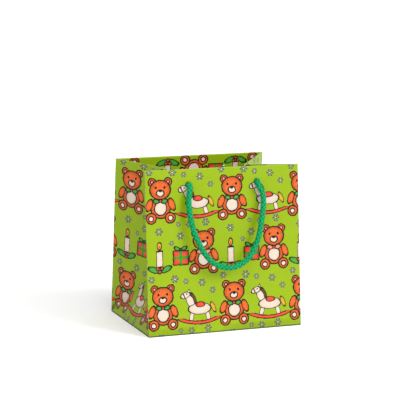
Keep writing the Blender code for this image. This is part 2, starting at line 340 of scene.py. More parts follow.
# Snowflakes: place on the repeat in mm, and size
SNOWFLAKES = [
    (24.6, 48.0, 1.0),
    (4.0, 48.6, 0.85),
    (34.6, 45.6, 0.75),
    (49.0, 43.6, 0.95),
    (58.6, 36.6, 0.8),
    (11.5, 88.8, 1.0),
    (30.5, 84.4, 0.95),
    (22.6, 78.6, 0.65),
    (38.6, 3.4, 0.85),
    (53.6, 4.6, 0.95),
    (29.0, 4.0, 0.65),
]
# Place on the repeat in mm and size of each motif: two rows, the second one shifted
PLACES = {
    "green bow teddy": (13.5, 22.0, 1.28),
    "rocking horse": (46.4, 23.6, 1.04),
    "pink bow teddy": (51.3, 67.6, 1.28),
    "candle": (11.5, 66.4, 1.2),
    "parcel": (30.5, 67.6, 1.1),
}


def print_paints(paper):
    """Each paint's colour in the middle of a shape, near its edge, and how heavy its ink line is."""

    def shade(colour, share):
        return tuple(part * share for part in colour)

    def lighten(colour, share):
        return tuple(part + (1 - part) * share for part in colour)

    ink = tuple(paper.ink)
    paints = {
        name: (lighten(getattr(paper, name), 0.02), shade(getattr(paper, name), 0.66), 1)
        for name in ("fur", "red", "dark_green", "yellow", "pink")
    }
    paints["green"] = (lighten(paper.green, 0.04), shade(paper.green, 0.5), 1)
    paints["cream"] = (tuple(paper.cream), shade(paper.cream, 0.86), 1)
    paints["band"] = (shade(paper.red, 0.32), shade(paper.red, 0.18), 0.8)
    paints["glow"] = (tuple(paper.red), lighten(paper.yellow, 0.1), 0)
    paints["mane"] = (shade(paper.yellow, 0.16), ink, 0.5)
    paints["ribbon"] = (tuple(paper.green), shade(paper.green, 0.5), 0)
    paints["ink"] = (ink, ink, 0)
    paints["dot"] = (tuple(paper.white), shade(paper.white, 0.8), 0.7)
    return paints


class Artist:
    """Paints inked shapes over one another: each call adds the nodes of one shape."""

    def __init__(self, tree, vector, colour, paints, paper):
        self.tree = tree
        self.vector = vector
        self.colour = colour
        self.paints = paints
        self.paper = paper

    def lay(self, distance, half_size, paint):
        """Colours what lies within EDGE of a shape's middle, with an ink line along the edge."""
        middle, rim, line = self.paints[paint]
        width = min(EDGE * self.paper.line_width / MM * line / half_size, WIDEST_LINE)
        ink = tuple(self.paper.ink)
        stops = [(0.0, middle, 1), (PLAIN_SHARE * (EDGE - width), middle, 1)]
        if line:
            stops += [(EDGE - width - SOFT_EDGE, rim, 1), (EDGE - width, ink, 1), (EDGE, ink, 1)]
            stops += [(EDGE + SOFT_EDGE, ink, 0)]
        else:
            stops += [(EDGE, rim, 1), (EDGE + SOFT_EDGE, rim, 0)]
        colour, cover = self.tree.ramp(distance, stops)
        self.colour = self.tree.mix(cover, self.colour, colour)

    def blob(self, x, y, half_width, half_height, turn, paint):
        """An oval about x, y, in mm, turned by degrees."""
        spot = self.tree.into_place(self.vector, x, y, half_width / EDGE, half_height / EDGE, turn)
        distance = self.tree.vector("LENGTH", spot)
        self.lay(distance, (half_width + half_height) / 2, paint)

    def pair(self, x, y, half_width, half_height, turn, paint):
        """The same blob to the left and to the right of the motif's middle line."""
        self.blob(-x, y, half_width, half_height, -turn, paint)
        self.blob(x, y, half_width, half_height, turn, paint)

    def box(self, x, y, half_width, half_height, paint):
        """An upright rectangle."""
        spot = self.tree.into_place(self.vector, x, y, half_width / EDGE, half_height / EDGE, 0)
        across = self.tree.math("ABSOLUTE", self.tree.vector("DOT_PRODUCT", spot, (1, 0, 0)))
        along = self.tree.math("ABSOLUTE", self.tree.vector("DOT_PRODUCT", spot, (0, 1, 0)))
        self.lay(self.tree.math("MAXIMUM", across, along), (half_width + half_height) / 2, paint)

    def arc(self, x, y, radius, width, middle, half_angle, paint):
        """A band along a circle about x, y; middle is where its middle points, both angles in degrees."""
        spot = self.tree.vector("SUBTRACT", self.vector, (x, y, 0))
        off = self.tree.math("SUBTRACT", self.tree.vector("LENGTH", spot), radius)
        across = self.tree.math("MULTIPLY", self.tree.math("ABSOLUTE", off), 2 * EDGE / width)
        ahead = self.tree.vector("DOT_PRODUCT", spot, (cos(radians(middle)), sin(radians(middle)), 0))
        reach = radius * cos(radians(half_angle))
        steep = 2 * EDGE / width / sin(radians(half_angle))
        past = self.tree.math("MULTIPLY_ADD", ahead, -steep, reach * steep + EDGE)
        self.lay(self.tree.math("MAXIMUM", across, past), width / 2, paint)


def start_motif(name):
    """A node group that lays something of the print over what is under it."""
    return start_group(
        name, {"Vector": ("Vector", None), "Under": ("Color", None)}, {"Colour": ("Color", None)}
    )


def build_motif(name, draw, paper, paints):
    group, tree, entry = start_motif(name)
    artist = Artist(tree, entry["Vector"], entry["Under"], paints, paper)
    draw(artist)
    end_group(group, {"Colour": artist.colour})
    return group


def draw_teddy(artist, bow):
    """A plain toy bear that sits and looks straight ahead, the same on both sides, with a bow."""
    artist.pair(5.6, 14.4, 3.0, 3.0, 0, "fur")
    artist.pair(5.6, 14.4, 1.5, 1.5, 0, "pink")
    artist.blob(0, -2.6, 7.2, 7.4, 0, "fur")
    artist.blob(0, -3.0, 4.6, 4.9, 0, "cream")
    artist.pair(7.8, -0.6, 2.4, 4.8, 22, "fur")
    artist.pair(6.6, -9.4, 3.9, 3.9, 0, "fur")
    artist.pair(6.8, -9.6, 2.1, 2.1, 0, "cream")
    artist.blob(0, 9.2, 7.6, 6.7, 0, "fur")
    artist.blob(0, 7.0, 3.1, 2.4, 0, "cream")
    artist.blob(0, 8.3, 1.1, 0.8, 0, "ink")
    artist.pair(3.0, 10.8, 0.8, 0.9, 0, "ink")
    artist.pair(2.9, 1.8, 2.7, 1.7, 14, bow)
    artist.blob(0, 1.8, 1.2, 1.2, 0, "red")


def draw_green_bow_teddy(artist):
    draw_teddy(artist, "green")


def draw_pink_bow_teddy(artist):
    draw_teddy(artist, "pink")


def draw_rocking_horse(artist):
    """A plain wooden rocking horse with a saddle and no rider."""
    artist.blob(11.8, -1.4, 1.9, 5.2, 24, "yellow")
    artist.blob(-5.2, 6.8, 2.0, 5.6, 24, "mane")
    artist.pair(7.2, -8.4, 2.0, 5.2, 14, "cream")
    artist.blob(-8.0, 4.6, 3.3, 6.4, 24, "cream")
    artist.blob(0, -2.0, 10.4, 4.8, 0, "cream")
    artist.blob(-9.0, 12.6, 1.1, 1.9, 0, "cream")
    artist.blob(-12.2, 9.6, 4.7, 2.7, 20, "cream")
    artist.blob(-13.4, 9.2, 0.6, 2.5, 20, "band")
    artist.blob(-11.0, 10.6, 0.6, 0.6, 0, "ink")
    artist.blob(0.6, 1.4, 4.4, 2.5, 0, "red")
    artist.arc(0, 27.6, 41.0, 3.4, -90, 26, "red")


def draw_candle(artist):
    """A candle over two leaves and three berries."""
    artist.blob(0, 8.6, 1.9, 3.2, 0, "yellow")
    artist.blob(0, 8.0, 0.9, 1.6, 0, "glow")
    artist.box(0, -0.6, 2.5, 6.2, "cream")
    artist.pair(4.6, -7.8, 4.9, 2.3, 22, "green")
    artist.pair(1.6, -7.2, 1.5, 1.5, 0, "red")
    artist.blob(0, -9.6, 1.5, 1.5, 0, "red")


def draw_parcel(artist):
    """A square parcel tied with a ribbon."""
    artist.box(0, -1.6, 6.6, 5.8, "red")
    artist.box(0, -1.6, 1.2, 5.2, "ribbon")
    artist.box(0, -1.6, 6.0, 1.1, "ribbon")
    artist.pair(3.0, 5.6, 2.9, 1.8, 26, "green")
    artist.blob(0, 4.8, 1.3, 1.3, 0, "dark_green")


MOTIFS = {
    "candle": draw_candle,
    "parcel": draw_parcel,
    "rocking horse": draw_rocking_horse,
    "green bow teddy": draw_green_bow_teddy,
    "pink bow teddy": draw_pink_bow_teddy,
}


def build_snowflake(paper, paints):
    """Six frosted petals round a white middle, about 7 mm across."""
    group, tree, entry = start_motif("snowflake")
    petal_count, petal_reach, ring_radius, ring_slope, ring_floor = 6.0, 0.34, 2.5, 0.62, 0.36
    away = tree.vector("LENGTH", entry["Vector"])
    beside = tree.vector("DOT_PRODUCT", entry["Vector"], (1, 0, 0))
    above = tree.vector("DOT_PRODUCT", entry["Vector"], (0, 1, 0))
    turn = tree.math("ARCTAN2", above, beside)
    petals = tree.math("COSINE", tree.math("MULTIPLY", turn, petal_count))
    ring = tree.math("ABSOLUTE", tree.math("SUBTRACT", away, ring_radius))
    from_ring = tree.math("MULTIPLY_ADD", ring, ring_slope, ring_floor)
    distance = tree.math("MULTIPLY_ADD", petals, -petal_reach, from_ring)
    bright = tuple(part * 3 for part in paper.frost)
    frost = tuple(paper.frost)
    stops = [(0.0, bright, 1), (0.08, bright, 1), (0.17, frost, 1), (0.68, frost, 1), (0.76, frost, 0)]
    colour, cover = tree.ramp(distance, stops)
    painted = tree.mix(cover, entry["Under"], colour)
    artist = Artist(tree, entry["Vector"], painted, paints, paper)
    artist.blob(0, 0, 1.2, 1.2, 0, "dot")
    end_group(group, {"Colour": artist.colour})
    return group


def build_fur(paper):
    """Short dark strokes on whatever is fur coloured, which its red, blue and green tell."""
    least_red, most_blue, middle_green, green_either_way = 0.45, 0.10, 0.15, 0.08
    group, tree, entry = start_group(
        "fur strokes", {"Vector": ("Vector", None), "Colour": ("Color", None)}, {"Colour": ("Color", None)}
    )
    slant = {"Vector": entry["Vector"], "Rotation": (0, 0, radians(25)), "Scale": (1.5, 0.42, 1)}
    slanted = tree.add("Mapping", slant).outputs[0]
    noise = tree.add("TexNoise", {"Vector": slanted, "Scale": 1.0, "Detail": 1.0, "Roughness": 0.5})
    stroke = tree.add("MapRange", {"Value": noise.outputs[0], 1: 0.60, 2: 0.66}).outputs[0]
    parts = tree.add("SeparateColor", {0: entry["Colour"]}).outputs
    warm = tree.math("GREATER_THAN", parts[0], least_red)
    plain = tree.math("LESS_THAN", parts[2], most_blue)
    off_green = tree.math("ABSOLUTE", tree.math("SUBTRACT", parts[1], middle_green))
    middling = tree.math("LESS_THAN", off_green, green_either_way)
    share = tree.math("MULTIPLY", tree.math("MULTIPLY", warm, plain), tree.math("MULTIPLY", middling, stroke))
    dark = tuple(part * 0.38 for part in paper.fur)
    end_group(group, {"Colour": tree.mix(tree.math("MULTIPLY", share, 0.75), entry["Colour"], (*dark, 1))})
    return group


def stamp(tree, group, flat, paper, place, colour):
    """Lays a snowflake or a motif over the colour, once in each repeat of the print."""
    x, y, size = place
    half = (paper.repeat_width / MM / 2, paper.repeat_height / MM / 2, 1)
    local = tree.vector("WRAP", tree.vector("SUBTRACT", flat, (x, y, 0)), half, [-part for part in half])
    spot = tree.vector("SCALE", local)
    spot.node.inputs["Scale"].default_value = 1 / size
    return use_group(tree, group, {"Vector": spot, "Under": colour})["Colour"]


def build_print(paper):
    """The whole repeat. Its vector is the place on the flat sheet, in metres."""
    paints = print_paints(paper)
    flake = build_snowflake(paper, paints)
    fur = build_fur(paper)
    motifs = [(PLACES[name], build_motif(name, draw, paper, paints)) for name, draw in MOTIFS.items()]
    group, tree, entry = start_group("gift print", {"Vector": ("Vector", None)}, {"Colour": ("Color", None)})
    flat = tree.vector("SCALE", entry["Vector"])
    flat.node.inputs["Scale"].default_value = 1 / MM
    sway = tree.add("TexNoise", {"Vector": flat, "Scale": 0.42, "Detail": 1.0, "Roughness": 0.6})
    nudge = tree.vector("MULTIPLY_ADD", sway.outputs["Color"], (SWAY, SWAY, 0), (-SWAY / 2, -SWAY / 2, 0))
    flat = tree.vector("ADD", flat, nudge)
    colour = tree.mix(0.0, (*paper.ground, 1), (*paper.ground, 1))
    for place in SNOWFLAKES:
        colour = stamp(tree, flake, flat, paper, place, colour)
    for place, motif in motifs:
        colour = stamp(tree, motif, flat, paper, place, colour)
    colour = use_group(tree, fur, {"Vector": flat, "Colour": colour})["Colour"]
    end_group(group, {"Colour": colour})
    return group


# ---------------------------------------------------------------- materials


def start_material(name):
    material = bpy.data.materials.new(name)
    material.use_nodes = True
    material.node_tree.nodes.clear()
    tree = Tree(material.node_tree)
    return material, tree


def end_material(material, tree, inputs):
    shader = tree.add("BsdfPrincipled", inputs)
    leave = tree.tree.nodes.new("ShaderNodeOutputMaterial")
    tree.tree.links.new(shader.outputs[0], leave.inputs[0])
    return material


def build_paper_grain():
    """Fine fibre relief and a slight unevenness of the surface, from Object coordinates in metres."""
    group, tree, entry = start_group(
        "paper grain",
        {"Vector": ("Vector", None), "Fibre size": ("Float", 0.4)},
        {"Relief": ("Float", None), "Patch": ("Float", None)},
    )
    fine_scale = tree.math("DIVIDE", 1000.0, entry["Fibre size"])
    fine = tree.add("TexNoise", {"Vector": entry["Vector"], "Scale": fine_scale, "Detail": 2.0})
    patch = tree.add("TexNoise", {"Vector": entry["Vector"], "Scale": 40.0, "Detail": 2.0})
    end_group(group, {"Relief": fine.outputs[0], "Patch": patch.outputs[0]})
    return group


def build_fold_wear_and_shade():
    """How worn the print is along the folds, and the painted contact shade near the floor, from the sheet's
    attributes.
    """
    group, tree, entry = start_group(
        "fold wear",
        {"Vector": ("Vector", None), "Fold": ("Float", 0.0), "Foot": ("Float", 0.0)},
        {"Wear": ("Float", None), "Grime": ("Float", None)},
    )
    noise = tree.add("TexNoise", {"Vector": entry["Vector"], "Scale": 900.0, "Detail": 3.0}).outputs[0]
    uneven = tree.math("MULTIPLY_ADD", noise, 0.9, -0.45)
    raw = tree.math("ADD", entry["Fold"], uneven)
    wear = tree.add("MapRange", {"Value": raw, 1: 0.62, 2: 1.05}).outputs[0]
    # Painted shade along the floor: strongest where the paper touches it, fading out upwards
    contact_shade = tree.math("POWER", entry["Foot"], 0.3)
    end_group(group, {"Wear": wear, "Grime": contact_shade})
    return group


def printed_material(paper, artwork, grain, wear):
    """The glossy printed face, whose folds wear white and whose foot is darkened to ink by a painted contact
    shade.
    """
    material, tree = start_material("laminated print")
    sheet = tree.add("UVMap", uv_map="sheet").outputs[0]
    colour = use_group(tree, artwork, {"Vector": sheet})["Colour"]
    place = tree.add("TexCoord").outputs["Object"]
    fold = tree.add("Attribute", attribute_name="fold").outputs["Fac"]
    foot = tree.add("Attribute", attribute_name="foot").outputs["Fac"]
    use = use_group(tree, wear, {"Vector": place, "Fold": fold, "Foot": foot})
    worn = use["Wear"]
    fibres = use_group(tree, grain, {"Vector": place, "Fibre size": 0.5})
    bare = tree.math("MULTIPLY", worn, 0.6)
    colour = tree.mix(bare, colour, (*paper.white, 1))
    # Painted contact shade: the print turns to ink along its lowest edge, next to the floor
    colour = tree.mix(use["Grime"], colour, (*paper.ink, 1))
    tone = tree.add("MapRange", {"Value": fibres["Patch"], 1: 0.3, 2: 0.7, 3: 0.97, 4: 1.0}).outputs[0]
    tone = tree.math("MULTIPLY", tone, paper.reflectance)
    colour = tree.vector("SCALE", colour)
    tree.tree.links.new(tone, colour.node.inputs["Scale"])
    rough = tree.add("MapRange", {"Value": fibres["Patch"], 1: 0.3, 2: 0.7, 3: 0.36, 4: 0.46}).outputs[0]
    rough = tree.math("MULTIPLY_ADD", worn, 0.25, rough)
    bump = tree.add("Bump", {"Strength": 0.12, "Distance": 0.02 * MM, "Height": fibres["Relief"]}).outputs[0]
    inputs = {"Base Color": colour, "Roughness": rough, "Normal": bump, "Specular IOR Level": 0.2}
    return end_material(material, tree, inputs)


def plain_paper_material(paper, grain):
    material, tree = start_material("unprinted paper")
    place = tree.add("TexCoord").outputs["Object"]
    fibres = use_group(tree, grain, {"Vector": place, "Fibre size": 0.8})
    tone = tree.add("MapRange", {"Value": fibres["Patch"], 1: 0.3, 2: 0.7}).outputs[0]
    dim = tuple(part * 0.93 for part in paper.white)
    colour = tree.mix(tone, (*dim, 1), (*paper.white, 1))
    bump = tree.add("Bump", {"Strength": 0.25, "Distance": 0.05 * MM, "Height": fibres["Relief"]}).outputs[0]
    return end_material(material, tree, {"Base Color": colour, "Roughness": 0.75, "Normal": bump})


def card_material(paper, grain):
    material, tree = start_material("grey card")
    place = tree.add("TexCoord").outputs["Object"]
    fibres = use_group(tree, grain, {"Vector": place, "Fibre size": 1.4})
    specks = tree.add("MapRange", {"Value": fibres["Relief"], 1: 0.34, 2: 0.48}).outputs[0]
    dark = tuple(part * 0.8 for part in paper.card)
    colour = tree.mix(specks, (*dark, 1), (*paper.card, 1))
    bump = tree.add("Bump", {"Strength": 0.4, "Distance": 0.08 * MM, "Height": fibres["Relief"]}).outputs[0]
    return end_material(material, tree, {"Base Color": colour, "Roughness": 0.85, "Normal": bump})


def cord_material(cord):
    """Glossy synthetic yarn: fine filaments along each strand, from the strand's own map, with painted shade
    in the braid's gaps and painted highlights on its crests.
    """
    material, tree = start_material("braided yarn")
    strand = tree.add("UVMap", uv_map="strand").outputs[0]
    along = tree.add("Mapping", {"Vector": strand, "Scale": (300.0, 14.0, 1)}).outputs[0]
    filament = tree.add("TexNoise", {"Vector": along, "Scale": 1.0, "Detail": 2.0}).outputs[0]
    tone = tree.add("MapRange", {"Value": filament, 1: 0.3, 2: 0.7}).outputs[0]
    dark = tuple(part * 0.6 for part in cord.colour)
    light = tuple(min(part * 1.15, 1) for part in cord.colour)
    colour = tree.mix(tone, (*dark, 1), (*light, 1))
    # Painted light and shade: the rise darkens the braid's gaps and core and lightens the strands' crests
    rise = tree.add("Attribute", attribute_name="rise").outputs["Fac"]
    lit = tree.add("MapRange", {"Value": rise, 1: 0.1, 2: 0.95, 3: 0.4, 4: 1.2}).outputs[0]
    colour = tree.vector("SCALE", colour)
    tree.tree.links.new(lit, colour.node.inputs["Scale"])
    rough = tree.add("MapRange", {"Value": filament, 3: 0.38, 4: 0.58}).outputs[0]
    bump = tree.add("Bump", {"Strength": 0.5, "Distance": 0.06 * MM, "Height": filament}).outputs[0]
    inputs = {"Base Color": colour, "Roughness": rough, "Normal": bump, "Specular IOR Level": 0.12}
    return end_material(material, tree, inputs)


def stage_material():
    material, tree = start_material("studio floor")
    place = tree.add("TexCoord").outputs["Object"]
    noise = tree.add("TexNoise", {"Vector": place, "Scale": 3.0, "Detail": 2.0}).outputs[0]
    rough = tree.add("MapRange", {"Value": noise, 3: 0.8, 4: 0.9}).outputs[0]
    return end_material(material, tree, {"Base Color": (0.97, 0.97, 0.97, 1), "Roughness": rough})


MATERIALS = {}


def finish_named(name):
    """The materials are made once, when the first piece asks for one."""
    if not MATERIALS:
        paper = bpy.context.scene.gift_bag_paper
        grain = build_paper_grain()
        artwork = build_print(paper)
        MATERIALS["printed"] = printed_material(paper, artwork, grain, build_fold_wear_and_shade())
        MATERIALS["plain"] = plain_paper_material(paper, grain)
        MATERIALS["card"] = card_material(paper, grain)
        MATERIALS["cord"] = cord_material(bpy.context.scene.gift_bag_cord)
    return MATERIALS[name]


# ---------------------------------------------------------------- folded paper


def spread(start, stop, count):
    return [start + (stop - start) * i / count for i in range(count + 1)]


def lay_sheet(name, columns, rows, place, flat, fold, outside, holes=()):
    """A piece of the printed sheet, as a closed solid.

    place(a, b) is the printed face's spot for a column and a row value, flat(a, b) its place on the flat
    sheet, fold(a, b) how worn a fold makes it, and outside a direction that the printed face looks in.
    """
    deselect_all()
    bpy.ops.mesh.primitive_grid_add(x_subdivisions=len(columns) - 1, y_subdivisions=len(rows) - 1, size=1)
    obj = bpy.context.active_object
    obj.name = name
    obj.data.name = name
    mesh = obj.data
    if len(mesh.vertices) != len(columns) * len(rows):
        raise RuntimeError(f"{name}: the grid has {len(mesh.vertices)} points")
    spots = []
    marks = mesh.attributes.new("fold", "FLOAT", "POINT")
    # The foot attribute holds painted shade: 1 at the floor, none above the contact shade's height
    floor_shade = mesh.attributes.new("foot", "FLOAT", "POINT")
    for vert in mesh.vertices:
        a = columns[round((vert.co.x + 0.5) * (len(columns) - 1))]
        b = rows[round((vert.co.y + 0.5) * (len(rows) - 1))]
        spots.append((a, b))
    for vert, (a, b) in zip(mesh.vertices, spots):
        vert.co = place(a, b)
        marks.data[vert.index].value = fold(a, b)
        floor_shade.data[vert.index].value = min(max(1 - vert.co.z / CONTACT_SHADE_HEIGHT, 0), 1)
    sheet_map = mesh.uv_layers[0]
    sheet_map.name = "sheet"
    for loop in mesh.loops:
        sheet_map.data[loop.index].uv = flat(*spots[loop.vertex_index])
    mesh.update()
    facing = sum((face.normal * face.area for face in mesh.polygons), Vector())
    bpy.ops.object.mode_set(mode="EDIT")
    bpy.ops.mesh.select_all(action="SELECT")
    bpy.ops.mesh.remove_doubles(threshold=0.001 * MM)
    if facing.dot(Vector(outside)) < 0:
        bpy.ops.mesh.flip_normals()
    bpy.ops.object.mode_set(mode="OBJECT")
    mesh.materials.append(finish_named("printed"))
    mesh.materials.append(finish_named("plain"))
    add_modifier(obj, "SOLIDIFY", thickness=PAPER, offset=-1, use_even_offset=True,
                 material_offset=1, material_offset_rim=1)
    for hole in holes:
        punch(obj, *hole)
    smooth(obj, 35)
    return obj


def deselect_all():
    if bpy.context.mode != "OBJECT":
        bpy.ops.object.mode_set(mode="OBJECT")
    bpy.ops.object.select_all(action="DESELECT")


def make_active(obj):
    deselect_all()
    obj.select_set(True)
    bpy.context.view_layer.objects.active = obj


def add_modifier(obj, kind, **settings):
    """Adds a modifier and applies it."""
    make_active(obj)
    modifier = obj.modifiers.new(kind.title(), kind)
    for name, value in settings.items():
        setattr(modifier, name, value)
    bpy.ops.object.modifier_apply(modifier=modifier.name)


def smooth(obj, angle):
    make_active(obj)
    bpy.ops.object.shade_smooth_by_angle(angle=radians(angle))


def punch(obj, centre, direction):
    """A round hole for a cord, cut through the paper."""
    deselect_all()
    bpy.ops.mesh.primitive_cylinder_add(vertices=40, radius=HOLE_RADIUS, depth=6 * MM, location=centre,
                                        rotation=Vector(direction).to_track_quat("Z", "Y").to_euler())
    cutter = bpy.context.active_object
    bpy.ops.object.transform_apply(location=True, rotation=True, scale=True)
    cutter.data.materials.append(finish_named("plain"))
    add_modifier(obj, "BOOLEAN", object=cutter, operation="DIFFERENCE", solver="EXACT",
                 material_mode="TRANSFER")
    bpy.data.objects.remove(cutter, do_unlink=True)


def wall_axes(side):
    """Up along a wall and out of it; side is -1 for the front and 1 for the back."""
    up = Vector((0, -side * sin(LEAN), cos(LEAN)))
    out = Vector((0, side * cos(LEAN), sin(LEAN)))
    return up, out


def corner(end, side, lift):
    """A corner edge of the bag: end is -1 for the left, side -1 for the front, lift 0 to 1 up the edge."""
    half_depth = BASE_HALF + (MOUTH_HALF - BASE_HALF) * lift
    return Vector((end * HALF_WIDTH, side * half_depth, HEIGHT * lift))


def crease(end, lift):
    """The middle crease of a gusset, from the tip of its foot (lift 0) to its top (lift 1)."""
    inset = FOOT_INSET + (CREASE_TOP_INSET - FOOT_INSET) * lift
    height = FOOT_RISE + (HEIGHT - CREASE_TOP_DROP - FOOT_RISE) * lift
    return Vector((end * (HALF_WIDTH - inset), 0, height))


def fold_arc(tip, own, other, share, radius):
    """A point on the rounded fold at tip between two faces that run off along own and other.

    share is 0 where the rounding leaves the own face and 1 at its middle.
    """
    inside = (own + other).normalized()
    opening = own.angle(other)
    centre = tip + inside * (radius / sin(opening / 2))
    start = tip + own * fold_start(own, other, radius) - centre
    turn = share * (pi - opening) / 2
    return centre + start * cos(turn) - own * radius * sin(turn)


def fold_start(own, other, radius):
    """How far from the fold's tip its rounding leaves the own face."""
    opening = own.angle(other)
    return radius * cos(opening / 2) / sin(opening / 2)


def gusset_direction(end, side, lift):
    """From a corner edge towards the middle crease, square to the edge."""
    across = (crease(end, lift) - corner(end, side, lift)).normalized()
    edge = (corner(end, side, 1) - corner(end, side, 0)).normalized()
    return (across - edge * across.dot(edge)).normalized()


class Wall:
    """The front or back panel: its printed face, with rounded folds at both ends and along its foot."""

    def __init__(self, side, paper):
        self.side = side
        self.paper = paper
        self.up, self.out = wall_axes(side)
        self.first_u = U_FRONT if side < 0 else U_BACK

    def bulge(self, x, rise):
        """The wall bows in a little between its folds, and waves slightly."""
        across = cos(pi * x / (2 * HALF_WIDTH))
        along = sin(pi * min(max(rise / SLOPE, 0), 1))
        wave = 0.25 * sin(70 * x + 9) * sin(48 * rise + 2 * self.side)
        return -self.paper.bow * across * (along * 0.8 + wave)

    def face(self, x, rise):
        foot = Vector((x, self.side * BASE_HALF, 0))
        return foot + self.up * rise + self.out * self.bulge(x, rise)

    def flat(self, x, rise):
        return (self.first_u + HALF_WIDTH - self.side * x, rise)

    def place(self, column, row):
        """column is ("arc", end, share) or ("x", x), row is a rise or ("foot", share)."""
        rise, foot_turn = (self.paper.base_radius, row[1]) if isinstance(row, tuple) else (row, 0.0)
        if column[0] == "x":
            spot = self.face(column[1], rise)
        else:
            end, share = column[1:]
            lift = min(rise / SLOPE, 1)
            own = Vector((-end, 0, 0))
            other = gusset_direction(end, self.side, lift)
            spot = fold_arc(corner(end, self.side, rise / SLOPE), own, other, share, self.paper.fold_radius)
        if foot_turn:
            radius = self.paper.base_radius
            turn = foot_turn * pi / 2
            spot = spot - self.out * radius * (1 - cos(turn))
            spot.z = radius * (1 - sin(turn))
        return spot

    def column_x(self, column):
        if column[0] == "x":
            return column[1]
        end, share = column[1:]
        own, other = Vector((-end, 0, 0)), gusset_direction(end, self.side, 0.5)
        return end * (HALF_WIDTH - fold_start(own, other, self.paper.fold_radius) * (1 - share))


def build_walls(paper):
    for word, side in (("front", -1), ("back", 1)):
        build_wall(paper, word, side)


def build_wall(paper, word, side):
    """A wall; the back one also has the line on which the bag was folded flat."""
    wall = Wall(side, paper)
    inner = wall.column_x(("arc", 1, 0.0))
    columns = [("arc", -1, share) for share in ARC_SHARES[:-1]]
    columns += [("x", x) for x in spread(-inner, inner, 26)]
    columns += [("arc", 1, share) for share in reversed(ARC_SHARES[:-1])]
    top = SLOPE - WALL_HEM_RADIUS
    crease_rise = BASE_HALF
    rows = [("foot", share) for share in (1.0, 0.8, 0.6, 0.4, 0.2)] + [paper.base_radius]
    rows += spread(CONTACT_SHADE_HEIGHT, crease_rise - PRESSED_HALF_WIDTH, 9) + [crease_rise]
    rows += spread(crease_rise + PRESSED_HALF_WIDTH, top, 15)

    def flat(column, row):
        rise = paper.base_radius * (1 - row[1]) if isinstance(row, tuple) else row
        return wall.flat(wall.column_x(column), rise)

    def fold(column, row):
        edge = column[2] if column[0] == "arc" else 0
        foot = WORN["foot"] * row[1] if isinstance(row, tuple) else 0
        pressed = WORN["pressed"] if side > 0 and row == crease_rise else 0
        mouth = WORN["mouth"] if row == top else 0
        return max(edge, foot, pressed, mouth)

    holes = [(wall.face(x, HOLE_RISE), wall.out) for x in (-HOLE_X, HOLE_X)]
    sheet = lay_sheet(f"{word}_panel_paper", columns, rows, wall.place, flat, fold, wall.out, holes)
    settle(sheet, "bag", "printed_paper", f"{word}_panel")


def settle(obj, body, slot, *nodes):
    """The piece rides on a body and stands for the frame's own nodes, which it hides; its slot is not used.
    """
    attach(obj, body)
    if nodes:
        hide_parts(*nodes)


def build_gussets(paper):
    for word, end, first_u in (("left", -1, U_LEFT), ("right", 1, U_RIGHT)):
        for half, side in (("front", -1), ("back", 1)):
            build_half(paper, word, end, first_u, half, side)
        build_foot(word, end, first_u)


def half_point(paper, end, side, column, lift):
    """A half of a gusset. column is ("edge", share), ("in", across) or ("crease", share)."""
    edge, fold = corner(end, side, lift), crease(end, lift)
    radius = paper.fold_radius
    into = gusset_direction(end, side, lift)
    if column[0] == "edge":
        return fold_arc(edge, into, Vector((-end, 0, 0)), column[1], radius)
    if column[0] == "crease":
        line = (crease(end, 1) - crease(end, 0)).normalized()
        own = (edge - fold).normalized()
        own = (own - line * own.dot(line)).normalized()
        other = Vector((own.x, -own.y, own.z))
        return fold_arc(fold, own, other, column[1], radius)
    across = column[1]
    spot = edge.lerp(fold, across)
    sag = 0.6 * paper.bow * sin(pi * across) * sin(pi * lift) * (1 + 0.4 * sin(9 * lift + 2 * side))
    return spot + Vector((-end * abs(into.y), side * abs(into.x), 0)).normalized() * sag


def gusset_u(first_u, end, side, across):
    """Where a half of a gusset lies along the flat sheet, from its corner edge (0) to its crease (1)."""
    return first_u + BASE_HALF + end * side * BASE_HALF * (1 - across)


def build_half(paper, word, end, first_u, half, side):
    lead = 2.2 * paper.fold_radius / BASE_HALF
    columns = [("edge", share) for share in ARC_SHARES[:-1]]
    columns += [("in", across) for across in spread(lead, 1 - lead, 12)]
    columns += [("crease", share) for share in reversed(ARC_SHARES[:-1])]
    top = 1 - GUSSET_TOP_GAP / SLOPE
    rows = spread(0, top, 26)

    def across_of(column):
        if column[0] == "in":
            return column[1]
        away = lead * (1 - column[1])
        return away if column[0] == "edge" else 1 - away

    def flat(column, lift):
        across = across_of(column)
        u = gusset_u(first_u, end, side, across)
        rise = SLOPE * lift * (1 - across) + (BASE_HALF + (SLOPE - BASE_HALF) * lift) * across
        return (u, rise)

    def fold(column, lift):
        edge = column[1] if column[0] != "in" else 0
        diagonal = WORN["diagonal"] if lift == 0 else 0
        mouth = WORN["mouth"] if lift == top else 0
        return max(edge, diagonal, mouth)

    def place(column, lift):
        return half_point(paper, end, side, column, lift)

    outside = (end, -side * 0.5, 0)
    sheet = lay_sheet(f"{word}_gusset_{half}_paper", columns, rows, place, flat, fold, outside)
    settle(sheet, "bag", "printed_paper", f"{word}_gusset_{half}")


